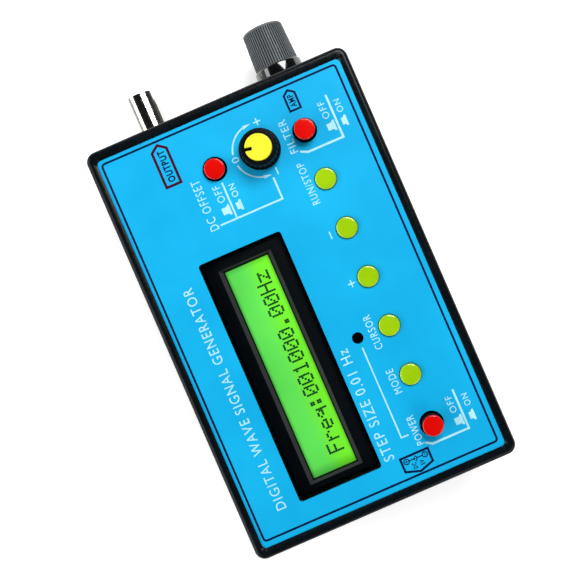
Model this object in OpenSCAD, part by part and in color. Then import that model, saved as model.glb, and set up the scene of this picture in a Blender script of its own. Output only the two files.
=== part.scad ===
// Handheld waveform generator in a two-part plastic case, lying on its back.
// Origin: centre of the flat back face. +Z points out of the front panel,
// +Y towards the end with the output socket and the amplitude knob.

/* [Case] */
// Width of the case
case_w = 80; // [78:1:110]
// Length of the case, without the socket and the knob
case_l = 125; // [124:1:160]
// Height of the closed case
case_h = 32; // [31:0.5:44]
// Thickness of the side and end walls
wall = 2.2; // [1.8:0.1:3]
// Thickness of the back
floor_t = 2.2; // [1.8:0.1:3]
// Thickness of the front panel under the label
panel_t = 2.3; // [1.8:0.1:3]
// Radius of the upright corners
corner_r = 3; // [2.5:0.1:5]
// Radius along the front and back edges
edge_r = 1.4; // [0.6:0.1:2]
// Height of the seam between the two shells
split_z = 16; // [15:0.5:18]
// Height of the lap lip at the seam
lip_h = 1.5; // [1:0.1:2.5]
// Thickness of the lap lip
lip_t = 1; // [0.8:0.1:1.1]

/* [Label] */
// Width of the black rim beside the label
rim_side = 2.7; // [2:0.1:5]
// Width of the black rim at the ends of the label
rim_end = 3.05; // [2:0.05:5]
// Thickness of the label
label_t = 0.3; // [0.2:0.05:0.5]
// Depth of the recess that the label lies in
label_recess = 0.6; // [0.5:0.05:1]
// Corner radius of the label
label_r = 1.4; // [1:0.1:3]

/* [Screws] */
// Distance from the case's sides to its screws
screw_inset = 6; // [5.5:0.1:8]
// Diameter of the posts that the screws join
post_d = 8; // [7:0.1:9]
// Shank diameter of the case screws
screw_d = 2.9; // [2.5:0.1:3.2]
// Head diameter of all the screws
screw_head_d = 5.6; // [5:0.1:6]
// Height of the screw heads
screw_head_h = 2; // [1.5:0.1:2.5]
// Depth of the head's counterbore in the back
screw_sink = 6; // [4:0.5:8]
// Length of the case screws under the head
screw_l = 16; // [14:1:18]

/* [Boards] */
// Thickness of the circuit boards
board_t = 1.6; // [1.2:0.1:2]
// Height of the bosses under the main board
board_boss_h = 3.4; // [3:0.1:4]
// Distance between the main board's holes across the case
board_hole_dx = 66; // [60:1:67]
// Distance between the main board's holes along the case
board_hole_dy = 92; // [80:1:94]
// Diameter of the bosses under the main board
boss_d = 6; // [5.5:0.1:7]
// Gap between the main board and the walls
board_gap = 1; // [0.8:0.1:1.5]

/* [Display] */
// Distance of the display's centre from the case's centre line
lcd_x = -9.9; // [-11:0.1:-9]
// Distance of the display's centre from the case's middle
lcd_y = -15.1; // [-16:0.1:-6]
// Width of the window in the front panel
window_w = 25.2; // [25:0.1:27]
// Length of the window in the front panel
window_l = 72.7; // [72:0.1:76]
// Corner radius of the window
window_r = 1; // [0.5:0.1:2]
// Width of the display's board
lcd_board_w = 36; // [34:0.5:36]
// Length of the display's board
lcd_board_l = 80; // [78:0.5:80]
// Width of the display's metal frame
frame_w = 24.2; // [22:0.1:24.4]
// Length of the display's metal frame
frame_l = 71.2; // [70:0.1:71.6]
// Height of the metal frame above its board
frame_h = 7.9; // [7:0.1:8.4]
// Sheet thickness of the metal frame
frame_t = 0.5; // [0.4:0.1:0.8]
// Width of the opening in the metal frame
view_w = 16.4; // [14:0.1:17]
// Length of the opening in the metal frame
view_l = 67; // [64:0.1:68]
// Depth of the metal frame's face below the label
frame_depth = 3.2; // [3:0.1:5]
// Thickness of the glass
glass_t = 2.1; // [1.8:0.1:2.5]
// Depth of the glass below the frame's face
glass_depth = 1.3; // [0.8:0.1:1.5]
// Height of the socket that the display plugs into
lcd_socket_h = 8.5; // [7:0.5:8.5]

/* [Keys] */
// Distance of the key column from the case's centre line
key_x = 20.4; // [19.5:0.1:24]
// Distance of the topmost key from the case's middle
key_top_y = 29.5; // [28:0.1:30]
// Spacing of the keys
key_pitch = 15; // [13:0.5:15]
// Diameter of the key caps
key_d = 6.1; // [5:0.1:6.6]
// Height of the key caps above the label
key_proud = 1; // [0.6:0.1:2]
// Travel of the keys
key_travel = 0.3; // [0.2:0.05:0.4]
// Gap round the key caps in the panel
key_gap = 0.2; // [0.15:0.05:0.4]

/* [Latching buttons] */
// Distance of the upper buttons and the small knob from the +Y end
top_row_inset = 18.1; // [17.8:0.1:19]
// Distance of the power button from the -Y end
power_inset = 16.9; // [16:0.1:17]
// Distance of the offset button from the case's centre line
offset_button_x = -7.2; // [-12:0.1:-6.6]
// Diameter of the button caps
button_d = 5.95; // [5:0.05:7]
// Gap round the button caps in the panel
button_gap = 0.55; // [0.3:0.05:0.6]
// Height of the button caps above the label when they are out
button_proud = 3.9; // [3.6:0.1:6]
// Distance that a button stays in when it is latched
latch_travel = 2.1; // [1.5:0.1:2.5]
// Extra push that latches or frees a button
latch_over = 0.6; // [0.4:0.1:0.8]

/* [Small knob] */
// Distance of the small knob from the case's centre line
small_knob_x = 6.7; // [6:0.1:7.2]
// Outer diameter of the small knob
small_knob_d = 11.8; // [10:0.1:14]
// Height of the small knob's top above the label
small_knob_h = 7.3; // [6.5:0.1:14]
// Gap between the small knob and the label
small_knob_gap = 0.8; // [0.5:0.1:1.5]
// Diameter of the small knob's fluted body at its top
small_knob_top_d = 10; // [9.4:0.1:10.8]
// Diameter of the coloured disc on the small knob
disc_d = 7.6; // [6:0.05:8.2]

/* [Amplitude knob] */
// Distance of the amplitude knob from the case's centre line
amp_x = 20.9; // [20.5:0.1:21.5]
// Height of the knob's axis above the main board
amp_axis_h = 8.4; // [8.3:0.1:9]
// Distance that the knob stands out past the case
amp_knob_out = 16.8; // [13:0.1:20]
// Gap between the knob and the case
amp_knob_gap = 0.5; // [0.4:0.1:1]
// Diameter of the knob's skirt
skirt_d = 14.7; // [14.4:0.1:16]
// Length of the knob's skirt
skirt_l = 4; // [2.3:0.1:5]
// Diameter of the grip next to the skirt
grip_base_d = 13.4; // [12.5:0.1:14]
// Diameter of the grip at its outer end
grip_tip_d = 12.3; // [11:0.1:13.5]
// Number of ribs round the grip
grip_ribs = 54; // [36:1:60]

/* [Controls' shafts] */
// Diameter of the control shafts
shaft_d = 6; // [5:0.1:6.35]
// Diameter of the controls' round cases
pot_d = 16; // [15:0.1:16.4]
// Depth of the controls' cases
pot_h = 9; // [8:0.1:9.5]
// Diameter of the controls' threaded necks
neck_d = 7; // [6.8:0.1:7.2]

/* [Output socket] */
// Distance of the socket from the case's centre line
bnc_x = -20.5; // [-20.6:0.1:-18.5]
// Height of the socket's axis above the main board
bnc_axis_h = 8; // [7.9:0.1:8.5]
// Outer diameter of the socket's barrel
bnc_d = 9.6; // [9.5:0.05:9.8]
// Inner diameter of the socket's barrel
bnc_bore_d = 8.1; // [8:0.05:8.3]
// Length of the barrel outside the case
bnc_out = 12.8; // [10:0.1:13.5]
// Distance of the bayonet pins from the barrel's tip
bnc_pin_back = 4.8; // [4.5:0.1:5.2]

/* [Power socket] */
// Distance of the power socket from the case's centre line
jack_x = 12.2; // [12:0.1:12.3]
// Height of the power socket's axis above the main board
jack_axis_h = 6.5; // [6:0.1:7]
// Diameter of the power socket's opening
jack_bore_d = 6.3; // [6:0.1:6.5]
// Diameter of the power socket's centre pin
jack_pin_d = 2.1; // [1.9:0.1:2.5]

/* [Indicator] */
// Distance of the lamp from the case's centre line
lamp_x = 10.8; // [10.8:0.1:12]
// Distance of the lamp from the case's middle
lamp_y = -15.3; // [-16:0.1:-9]
// Diameter of the lamp's hole in the panel
lamp_hole_d = 3.3; // [2.9:0.1:3.4]

/* [Hidden] */
$fn = 64;
slip = 0.15;        // clearance between pieces that slip together
shaft_fit = 0.04;   // radial clearance of a shaft in its bore
eps = 0.01;         // overshoot of a cut past a face

// levels, from the back up
board_z = floor_t + board_boss_h;
board_top = board_z + board_t;
recess_z = case_h - label_recess;
label_top = recess_z + label_t;
panel_z = recess_z - panel_t;
frame_top = label_top - frame_depth;
lcd_board_top = frame_top - frame_h;
lcd_board_z = lcd_board_top - board_t;
glass_top = frame_top - glass_depth;

// inside of the case
in_w = case_w - 2 * wall;
in_l = case_l - 2 * wall;
in_r = corner_r - wall + 0.7;
post_x = case_w / 2 - screw_inset;
post_y = case_l / 2 - screw_inset;
pilot_d = screw_d + 0.1;
screw_hole_d = screw_d + 0.5;
counterbore_d = screw_head_d + 0.6;
pilot_h = screw_sink + screw_l - split_z + 1;
drive_l = 3;        // cross slot in the screw heads
drive_w = 0.7;
drive_depth = 0.9;

// panel layout
top_y = case_l / 2 - top_row_inset;
power_y = power_inset - case_l / 2;
key_hole_d = key_d + 2 * key_gap;
button_hole_d = button_d + 2 * button_gap;
shaft_hole_d = shaft_d + 1.6;

// keys: small switches with tall plungers
tact_w = 6;
tact_h = 3.5;
plunger_d = 3.4;
plunger_sink = 0.8;
flange_d = key_d + 2;
flange_t = 1;
flange_gap = 0.3;
key_cap_h = label_top + key_proud - (panel_z - flange_gap - flange_t);
key_socket_h = 3;

// latching switches
latch_w = 7;
latch_h = 9;
stem_w = 3.2;
stem_sink = 4;
button_cap_h = 12.5;
button_socket_h = 8;

// indicator lamp, standing on a spacer so that it ends just under the panel
lamp_d = lamp_hole_d - 0.1;
lamp_body_h = 5.2;
lamp_z = panel_z - 0.2 - lamp_body_h;
spacer_d = 4.4;

// small knob and its control
pot_top = board_top + pot_h;
neck_h = 6;
small_knob_top = label_top + small_knob_h;
small_knob_z = label_top + small_knob_gap;
small_shaft_top = small_knob_top - 2.4;
disc_t = 1.2;
disc_proud = 0.25;
pointer_l = 2;        // notch in the disc
pointer_w = 1;
pointer_turn = 169;     // its place, anticlockwise from +X

// amplitude knob and its control
end_y = case_l / 2;
wall_y = end_y - wall;
amp_z = board_top + amp_axis_h;
nut_w = 10;
nut_t = 2;
washer_d = 11.6;
washer_t = 0.4;
neck_out = 3.4;
skirt_hollow_d = 12.2;
skirt_hollow_l = 3.4;
grip_l = amp_knob_out - amp_knob_gap - skirt_l;
amp_shaft_out = amp_knob_out - 2.5;

// output socket
bnc_z = board_top + bnc_axis_h;
bnc_body_w = 14.4;
bnc_body_l = 13;
bnc_hole_d = bnc_d + 0.6;
bnc_root = 3;
bnc_pin_d = 1.9;
bnc_pin_span = 11;
bnc_core_d = 5;         // insulator round the centre contact
bnc_core_root = 4;      // depth of the insulator behind the barrel
bnc_core_back = 5.2;    // distance of the insulator's end from the tip
bnc_contact_d = 2.2;
bnc_contact_bore = 1.35;
bnc_contact_back = 4.8;

// power socket
jack_z = board_top + jack_axis_h;
jack_w = 9;
jack_l = 14.2;
jack_h = 11;
jack_hole_d = 8;
jack_depth = 9.5;

// display board
lcd_hole_dx = lcd_board_w - 5;
lcd_hole_dy = lcd_board_l - 5;
standoff_d = 4;
lcd_screw_d = 2.4;
lcd_head_d = 4.4;
lcd_head_h = 1.6;
lcd_screw_l = 5;
pin_pitch = 2.54;
pin_count = 16;
pin_w = 0.64;
header_x = lcd_x - lcd_board_w / 2 + 2.5;
header_y = lcd_y - lcd_board_l / 2 + 8;
header_l = pin_pitch * pin_count;

// ---- shared shapes ----

module round_rect(w, l, r) {
  square([w - 2 * r, l], center = true);
  square([w, l - 2 * r], center = true);
  for (x = [-1, 1], y = [-1, 1])
    translate([x * (w / 2 - r), y * (l / 2 - r)]) circle(r);
}

module slab(w, l, r, z0, z1) {
  translate([0, 0, z0]) linear_extrude(z1 - z0) round_rect(w, l, r);
}

module rod(d, z0, z1) {
  translate([0, 0, z0]) cylinder(d = d, h = z1 - z0);
}

module block(w, l, z0, z1) {
  translate([-w / 2, -l / 2, z0]) cube([w, l, z1 - z0]);
}

// a cylinder along +Y, from y0 to y1
module bar_y(d, y0, y1) {
  translate([0, y1, 0]) rotate([90, 0, 0]) cylinder(d = d, h = y1 - y0);
}

module at_corners(x, y) {
  for (sx = [-1, 1], sy = [-1, 1]) translate([sx * x, sy * y, 0]) children();
}

// section of the case's outside, from a corner's axis outwards
module edge_section() {
  intersection() {
    square([corner_r, case_h]);
    union() {
      square([corner_r - edge_r, case_h]);
      translate([0, edge_r]) square([corner_r, case_h - 2 * edge_r]);
      translate([corner_r - edge_r, edge_r]) circle(edge_r);
      translate([corner_r - edge_r, case_h - edge_r]) circle(edge_r);
    }
  }
}

module side_run(out, along) {
  translate([out, along, 0]) rotate([90, 0, 0])
    linear_extrude(2 * along) edge_section();
}

module case_solid() {
  x = case_w / 2 - corner_r;
  y = case_l / 2 - corner_r;
  block(2 * x, 2 * y, 0, case_h);
  for (a = [0, 180]) rotate([0, 0, a]) side_run(x, y);
  for (a = [90, 270]) rotate([0, 0, a]) side_run(y, x);
  for (c = [[x, y, 0], [-x, y, 90], [-x, -y, 180], [x, -y, 270]])
    translate([c[0], c[1], 0]) rotate([0, 0, c[2]])
      rotate_extrude(angle = 90) edge_section();
}

// round holes in the two end walls
module end_holes() {
  translate([bnc_x, 0, bnc_z]) bar_y(bnc_hole_d, wall_y - 2, end_y + 1);
  translate([amp_x, 0, amp_z]) bar_y(neck_d + 0.5, wall_y - 2, end_y + 1);
  translate([jack_x, 0, jack_z]) bar_y(jack_hole_d, -end_y - 1, -wall_y + 2);
}

function key_y(i) = key_top_y - i * key_pitch;

// everything that passes through the panel and its label
module panel_cuts(z0, z1) {
  translate([lcd_x, lcd_y, 0]) slab(window_w, window_l, window_r, z0, z1);
  for (i = [0:4]) translate([key_x, key_y(i), 0]) rod(key_hole_d, z0, z1);
  translate([key_x, top_y, 0]) rod(button_hole_d, z0, z1);
  translate([key_x, power_y, 0]) rod(button_hole_d, z0, z1);
  translate([offset_button_x, top_y, 0]) rod(button_hole_d, z0, z1);
  translate([small_knob_x, top_y, 0]) rod(shaft_hole_d, z0, z1);
  translate([lamp_x, lamp_y, 0]) rod(lamp_hole_d, z0, z1);
}

// pan-head screw, head at z = 0 and up, shank downwards
module screw(d, l) {
  difference() {
    rod(screw_head_d, 0, screw_head_h);
    for (a = [0, 90]) rotate([0, 0, a])
      block(drive_l, drive_w, screw_head_h - drive_depth, screw_head_h + eps);
  }
  rod(d, -l, 0);
}

// ---- case ----

module back_shell() {
  color([0.07, 0.08, 0.09])
  difference() {
    union() {
      difference() {
        intersection() {
          case_solid();
          block(case_w + 2, case_l + 2, -1, split_z);
        }
        slab(in_w, in_l, in_r, floor_t, split_z + 1);
      }
      difference() {
        slab(in_w + 2 * lip_t, in_l + 2 * lip_t, in_r + lip_t, split_z - 1, split_z + lip_h);
        slab(in_w, in_l, in_r, split_z - 2, split_z + lip_h + 1);
      }
      at_corners(post_x, post_y) rod(post_d, floor_t - 1, split_z);
      at_corners(board_hole_dx / 2, board_hole_dy / 2) rod(boss_d, floor_t - 1, board_z);
    }
    at_corners(post_x, post_y) {
      rod(screw_hole_d, -1, split_z + 1);
      rod(counterbore_d, -1, screw_sink);
      rod(post_d + 2 * slip, split_z, split_z + lip_h + 1);
    }
    at_corners(board_hole_dx / 2, board_hole_dy / 2) rod(pilot_d, floor_t, board_z + 1);
    end_holes();
  }
}

module front_shell() {
  color([0.07, 0.08, 0.09])
  difference() {
    union() {
      difference() {
        intersection() {
          case_solid();
          block(case_w + 2, case_l + 2, split_z, case_h + 1);
        }
        slab(in_w, in_l, in_r, split_z - 1, panel_z);
        slab(in_w + 2 * (lip_t + slip), in_l + 2 * (lip_t + slip), in_r + lip_t + slip,
          split_z - 1, split_z + lip_h + slip);
      }
      at_corners(post_x, post_y) rod(post_d, split_z, panel_z + 1);
    }
    at_corners(post_x, post_y) rod(pilot_d, split_z - 1, split_z + pilot_h);
    slab(case_w - 2 * rim_side, case_l - 2 * rim_end, label_r, recess_z, case_h + 1);
    panel_cuts(panel_z - 1, case_h + 1);
    end_holes();
  }
}

module front_label() {
  color([0.13, 0.69, 0.92])
  difference() {
    slab(case_w - 2 * rim_side - slip, case_l - 2 * rim_end - slip, label_r - slip / 2,
      recess_z, label_top);
    panel_cuts(recess_z - 1, label_top + 1);
  }
}

module case_screws() {
  color([0.55, 0.56, 0.58])
  at_corners(post_x, post_y)
    translate([0, 0, screw_sink]) mirror([0, 0, 1]) screw(screw_d, screw_l);
}

// ---- boards ----

module main_board() {
  color([0.05, 0.32, 0.16])
  difference() {
    block(in_w - 2 * board_gap, in_l - 2 * board_gap, board_z, board_top);
    at_corners(in_w / 2, in_l / 2)
      block(2 * (in_w / 2 - post_x + post_d / 2 + board_gap),
        2 * (in_l / 2 - post_y + post_d / 2 + board_gap), board_z - 1, board_top + 1);
    at_corners(board_hole_dx / 2, board_hole_dy / 2) rod(screw_hole_d, board_z - 1, board_top + 1);
  }
}

module board_screws() {
  color([0.7, 0.7, 0.72])
  at_corners(board_hole_dx / 2, board_hole_dy / 2)
    translate([0, 0, board_top]) screw(screw_d, board_t + board_boss_h);
}

module at_lcd_holes() {
  translate([lcd_x, lcd_y, 0]) at_corners(lcd_hole_dx / 2, lcd_hole_dy / 2) children();
}

module each_pin() {
  for (i = [0:pin_count - 1])
    translate([header_x, header_y + i * pin_pitch, 0]) children();
}

module display_board() {
  color([0.04, 0.28, 0.14])
  difference() {
    translate([lcd_x, lcd_y, 0]) block(lcd_board_w, lcd_board_l, lcd_board_z, lcd_board_top);
    at_lcd_holes() rod(lcd_screw_d + 0.4, lcd_board_z - 1, lcd_board_top + 1);
    each_pin() block(pin_w + 0.3, pin_w + 0.3, lcd_board_z - 1, lcd_board_top + 1);
  }
}

module display_backlight() {
  color([0.75, 0.95, 0.6])
  translate([lcd_x, lcd_y, 0])
    block(frame_w - 2 * frame_t - 2 * slip, frame_l - 2 * frame_t - 2 * slip,
      lcd_board_top, glass_top - glass_t);
}

module display_glass() {
  color([0.4, 0.9, 0.3])
  translate([lcd_x, lcd_y, 0])
    block(frame_w - 2 * frame_t - 2 * slip, frame_l - 2 * frame_t - 2 * slip,
      glass_top - glass_t, glass_top);
}

// folded metal frame: its lip turns down to the glass round the opening
module display_frame() {
  color([0.08, 0.08, 0.09])
  translate([lcd_x, lcd_y, 0]) difference() {
    block(frame_w, frame_l, lcd_board_top, frame_top);
    block(frame_w - 2 * frame_t, frame_l - 2 * frame_t, lcd_board_top - 1, glass_top);
    block(view_w, view_l, glass_top - 1, frame_top + 1);
  }
}

module display_header() {
  color([0.1, 0.1, 0.1])
  translate([header_x, header_y + header_l / 2 - pin_pitch / 2, 0])
    block(pin_pitch, header_l, board_top + lcd_socket_h, lcd_board_z);
  color([0.85, 0.7, 0.3])
  each_pin() block(pin_w, pin_w, board_top + lcd_socket_h - 6, lcd_board_top + 1.2);
}

module display_socket() {
  color([0.1, 0.1, 0.1])
  difference() {
    translate([header_x, header_y + header_l / 2 - pin_pitch / 2, 0])
      block(pin_pitch, header_l, board_top, board_top + lcd_socket_h);
    each_pin() block(pin_w + 0.2, pin_w + 0.2, board_top + lcd_socket_h - 6.5,
      board_top + lcd_socket_h + 1);
  }
}

module display_standoffs() {
  color([0.9, 0.9, 0.88])
  at_lcd_holes() difference() {
    rod(standoff_d, board_top, lcd_board_z);
    rod(lcd_screw_d + 0.1, lcd_board_z - lcd_screw_l - 2, lcd_board_z + 1);
  }
}

module display_screws() {
  color([0.7, 0.7, 0.72])
  at_lcd_holes() translate([0, 0, lcd_board_top]) difference() {
    union() {
      rod(lcd_head_d, 0, lcd_head_h);
      rod(lcd_screw_d, -board_t - lcd_screw_l, 0);
    }
    for (a = [0, 90]) rotate([0, 0, a])
      block(lcd_head_d - 2, 0.6, lcd_head_h - 0.7, lcd_head_h + eps);
  }
}

// moulded chip with legs down both long sides; length along Y
module chip(w, l, h, legs, pitch, lift) {
  color([0.09, 0.09, 0.1]) block(w, l, board_top + lift, board_top + lift + h);
  color([0.75, 0.76, 0.78])
  for (s = [-1, 1], i = [0:legs - 1])
    translate([s * (w / 2 + 0.35), (i - (legs - 1) / 2) * pitch, 0])
      block(0.9, pitch * 0.35, board_top, board_top + lift + h / 2);
}

module microcontroller() {
  translate([lcd_x, lcd_y - 8, 0]) chip(7.2, 35.6, 3.4, 14, 2.54, 0.8);
}

module waveform_chip() {
  translate([lcd_x - 2, lcd_y + 24, 0]) chip(5.3, 10.2, 1.75, 14, 0.65, 0.15);
}

module output_amplifiers() {
  for (dy = [0, 9]) translate([bnc_x - 1.1, top_y - 18 + dy, 0]) chip(3.9, 4.9, 1.5, 4, 1.27, 0.15);
}

module clock_oscillator() {
  can_w = 12.7;
  can_h = 5;
  rim = 0.35;
  color([0.8, 0.8, 0.82])
  translate([lcd_x + 9, lcd_y + 24, 0]) {
    slab(can_w, can_w, 2, board_top, board_top + can_h);
    slab(can_w + 2 * rim, can_w + 2 * rim, 2, board_top, board_top + 0.6);
  }
}

// regulator lying flat, its metal tab under the moulded body
module voltage_regulator() {
  body_w = 6.5;
  body_l = 6.1;
  body_h = 1.9;
  tab_l = 9.6;
  tab_t = 0.5;
  color([0.8, 0.8, 0.82])
  translate([lcd_x + 6, power_y - 4, 0]) {
    block(body_w + 0.1, tab_l, board_top, board_top + tab_t);
    for (dx = [-2.3, 2.3]) translate([dx, -tab_l / 2, 0]) block(0.8, 3, board_top, board_top + 1.2);
  }
  color([0.09, 0.09, 0.1])
  translate([lcd_x + 6, power_y - 4.6, 0])
    block(body_w, body_l, board_top + tab_t, board_top + tab_t + body_h);
}

// upright cans beside the keys
module electrolytic_capacitors() {
  can_d = 6.3;
  can_h = 11.2;
  spacing = 12;
  color([0.12, 0.13, 0.3])
  for (i = [0:3]) translate([key_x + 10.2, key_top_y - (i + 1) * spacing, 0])
    difference() {
      rod(can_d, board_top, board_top + can_h);
      for (a = [0, 90]) rotate([0, 0, a])
        block(can_d * 0.7, 0.3, board_top + can_h - 0.2, board_top + can_h + eps);
    }
}

module chip_resistors() {
  step_x = 3.6;
  step_y = 5;
  chip_h = 0.6;
  color([0.15, 0.15, 0.15])
  for (i = [0:7], j = [0:1])
    translate([lcd_x + 11 + j * step_x, lcd_y - 30 + i * step_y, 0])
      block(2, 1.25, board_top, board_top + chip_h);
}

// ---- indicator ----

module indicator_lamp() {
  color([0.6, 0.08, 0.06])
  translate([lamp_x, lamp_y, 0]) {
    rod(3.8, lamp_z, lamp_z + 1);
    rod(lamp_d, lamp_z, lamp_z + lamp_body_h - lamp_d / 2);
    translate([0, 0, lamp_z + lamp_body_h - lamp_d / 2]) sphere(d = lamp_d);
    for (dy = [-1, 1]) translate([0, dy * 0.9, 0]) block(0.5, 0.5, board_top, lamp_z + 1);
  }
}

module lamp_spacer() {
  color([0.12, 0.12, 0.12])
  translate([lamp_x, lamp_y, 0]) difference() {
    rod(spacer_d, board_top, lamp_z);
    rod(3, board_top - 1, lamp_z + 1);
  }
}

// ---- keys ----

module key_switches() {
  color([0.1, 0.1, 0.1])
  for (i = [0:4]) translate([key_x, key_y(i), 0]) difference() {
    block(tact_w, tact_w, board_top, board_top + tact_h);
    rod(plunger_d + 0.2, board_top + tact_h - plunger_sink - key_travel - 0.2, board_top + tact_h + 1);
  }
}

module plunger(i) {
  color([0.12, 0.12, 0.12])
  translate([key_x, key_y(i), 0])
    rod(plunger_d, board_top + tact_h - plunger_sink, panel_z - flange_gap - flange_t + key_socket_h);
}

// cap with a rounded top edge and a flange that stays under the panel
module key_cap(i) {
  top = label_top + key_proud;
  round_r = 0.5;
  color([0.68, 0.85, 0.08])
  translate([key_x, key_y(i), 0]) difference() {
    union() {
      rod(key_d, top - key_cap_h, top - round_r);
      rod(key_d - 2 * round_r, top - key_cap_h, top);
      translate([0, 0, top - round_r]) rotate_extrude()
        translate([key_d / 2 - round_r, 0]) circle(round_r, $fn = 24);
      rod(flange_d, top - key_cap_h, top - key_cap_h + flange_t);
    }
    rod(plunger_d + 2 * shaft_fit, top - key_cap_h - 1, top - key_cap_h + key_socket_h);
  }
}

// ---- latching buttons ----

module latch_switch(x, y) {
  color([0.93, 0.93, 0.9])
  translate([x, y, 0]) difference() {
    block(latch_w, latch_w, board_top, board_top + latch_h);
    block(stem_w + 2 * slip, stem_w + 2 * slip,
      board_top + latch_h - stem_sink - latch_travel - latch_over - 0.3, board_top + latch_h + 1);
  }
}

// stem and cap are drawn for a button that is out by `out`
module latch_stem(x, y, out) {
  low = board_top + latch_h - stem_sink - latch_travel + out;
  top = label_top + button_proud - latch_travel + out - button_cap_h + button_socket_h;
  color([0.93, 0.93, 0.9])
  translate([x, y, 0]) block(stem_w, stem_w, low, top);
}

module latch_cap(x, y, out) {
  top = label_top + button_proud - latch_travel + out;
  round_r = 0.6;
  color([0.9, 0.12, 0.1])
  translate([x, y, 0]) difference() {
    union() {
      rod(button_d, top - button_cap_h, top - round_r);
      rod(button_d - 2 * round_r, top - button_cap_h, top);
      translate([0, 0, top - round_r]) rotate_extrude()
        translate([button_d / 2 - round_r, 0]) circle(round_r, $fn = 24);
    }
    block(stem_w + 0.1, stem_w + 0.1, top - button_cap_h - 1, top - button_cap_h + button_socket_h);
  }
}

// ---- small knob ----

module offset_control() {
  translate([small_knob_x, top_y, 0]) difference() {
    union() {
      color([0.75, 0.75, 0.77]) rod(pot_d, board_top + 1.5, pot_top);
      color([0.45, 0.3, 0.15]) block(12, 12, board_top, board_top + 1.5);
      color([0.75, 0.75, 0.77]) rod(neck_d, pot_top, pot_top + neck_h);
    }
    rod(shaft_d + 2 * shaft_fit, board_top + 3, pot_top + neck_h + 1);
  }
}

module offset_shaft() {
  color([0.85, 0.85, 0.83])
  translate([small_knob_x, top_y, 0]) rod(shaft_d, board_top + 3.2, small_shaft_top);
}

// wider base, fluted body, and a seat for the disc
module offset_knob() {
  flutes = 24;
  flute_w = 0.5;
  flute_depth = 0.25;
  base_h = 1.4;
  bevel = 0.5;
  body_d = small_knob_d - 0.9;
  body_z = small_knob_z + base_h;
  body_h = small_knob_top - bevel - body_z;
  color([0.06, 0.06, 0.06])
  translate([small_knob_x, top_y, 0]) difference() {
    union() {
      rod(small_knob_d, small_knob_z, small_knob_z + base_h);
      translate([0, 0, body_z]) cylinder(d1 = body_d, d2 = small_knob_top_d, h = body_h);
      translate([0, 0, small_knob_top - bevel])
        cylinder(d1 = small_knob_top_d, d2 = small_knob_top_d - 2 * bevel, h = bevel);
    }
    for (i = [0:flutes - 1]) rotate([0, 0, i * 360 / flutes])
      translate([body_d / 2 - flute_depth, -flute_w / 2, body_z])
        rotate([0, -atan((body_d - small_knob_top_d) / 2 / body_h), 0])
          cube([2, flute_w, body_h + 2]);
    rod(disc_d + 2 * slip, small_knob_top - disc_t, small_knob_top + 1);
    rod(shaft_d + 2 * shaft_fit, small_knob_z - 1, small_shaft_top + 0.1);
  }
}

// the notch is the knob's pointer
module offset_knob_disc() {
  z0 = small_knob_top - disc_t;
  z1 = small_knob_top + disc_proud;
  color([0.96, 0.95, 0.2])
  translate([small_knob_x, top_y, 0]) difference() {
    rod(disc_d, z0, z1);
    rotate([0, 0, pointer_turn]) translate([disc_d / 2 - pointer_l / 2 + 0.5, 0, 0])
      block(pointer_l + 1, pointer_w, z0 - 1, z1 + 1);
  }
}

// ---- amplitude knob ----

module at_amp() {
  translate([amp_x, 0, amp_z]) children();
}

module amplitude_control() {
  at_amp() difference() {
    union() {
      color([0.75, 0.75, 0.77]) bar_y(pot_d, wall_y - pot_h, wall_y);
      color([0.75, 0.75, 0.77]) bar_y(neck_d, wall_y - 1, end_y + neck_out);
      color([0.8, 0.8, 0.8])
      for (dx = [-5, 0, 5])
        translate([dx, wall_y - pot_h + 1, 0]) block(0.9, 0.6, -amp_axis_h, -4);
    }
    bar_y(shaft_d + 2 * shaft_fit, wall_y - pot_h + 2, end_y + neck_out + 1);
  }
}

module amplitude_washer() {
  color([0.8, 0.8, 0.82])
  at_amp() difference() {
    bar_y(washer_d, end_y, end_y + washer_t);
    bar_y(neck_d + 2 * shaft_fit, end_y - 1, end_y + washer_t + 1);
  }
}

module amplitude_nut() {
  color([0.8, 0.8, 0.82])
  at_amp() difference() {
    translate([0, end_y + washer_t + nut_t, 0]) rotate([90, 0, 0])
      cylinder(d = nut_w / cos(30), h = nut_t, $fn = 6);
    bar_y(neck_d + 2 * shaft_fit, end_y, end_y + washer_t + nut_t + 1);
  }
}

module amplitude_shaft() {
  color([0.8, 0.8, 0.8])
  at_amp() bar_y(shaft_d, wall_y - pot_h + 2.2, end_y + amp_shaft_out);
}

module amplitude_skirt() {
  y0 = end_y + amp_knob_gap;
  color([0.05, 0.05, 0.05])
  at_amp() difference() {
    bar_y(skirt_d, y0, y0 + skirt_l);
    bar_y(skirt_hollow_d, y0 - 1, y0 + skirt_l + 1);
  }
}

// ribbed, tapered grip; its inner end is plain and fills the skirt
module amplitude_grip() {
  y0 = end_y + amp_knob_gap + skirt_l;
  y1 = end_y + amp_knob_out;
  round_l = 0.8;
  rib_depth = 0.3;
  color([0.3, 0.33, 0.35])
  at_amp() difference() {
    union() {
      translate([0, y1 - round_l, 0]) rotate([90, 0, 0])
        cylinder(d1 = grip_tip_d, d2 = grip_base_d, h = grip_l - round_l);
      translate([0, y1, 0]) rotate([90, 0, 0])
        cylinder(d1 = grip_tip_d - 2 * round_l, d2 = grip_tip_d, h = round_l);
    }
    for (i = [0:grip_ribs - 1]) rotate([0, i * 360 / grip_ribs, 0])
      translate([0, y1, grip_tip_d / 2])
        rotate([90 - atan((grip_base_d - grip_tip_d) / 2 / grip_l), 0, 0])
          translate([-0.17, -rib_depth, -1]) cube([0.34, 2, grip_l + 2]);
    bar_y(shaft_d + 2 * shaft_fit, y0 - 1, end_y + amp_shaft_out + 0.1);
    bar_y(skirt_hollow_d, y0 - 1, end_y + amp_knob_gap + skirt_hollow_l);
  }
}

// ---- output socket ----

module at_bnc() {
  translate([bnc_x, 0, bnc_z]) children();
}

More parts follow.
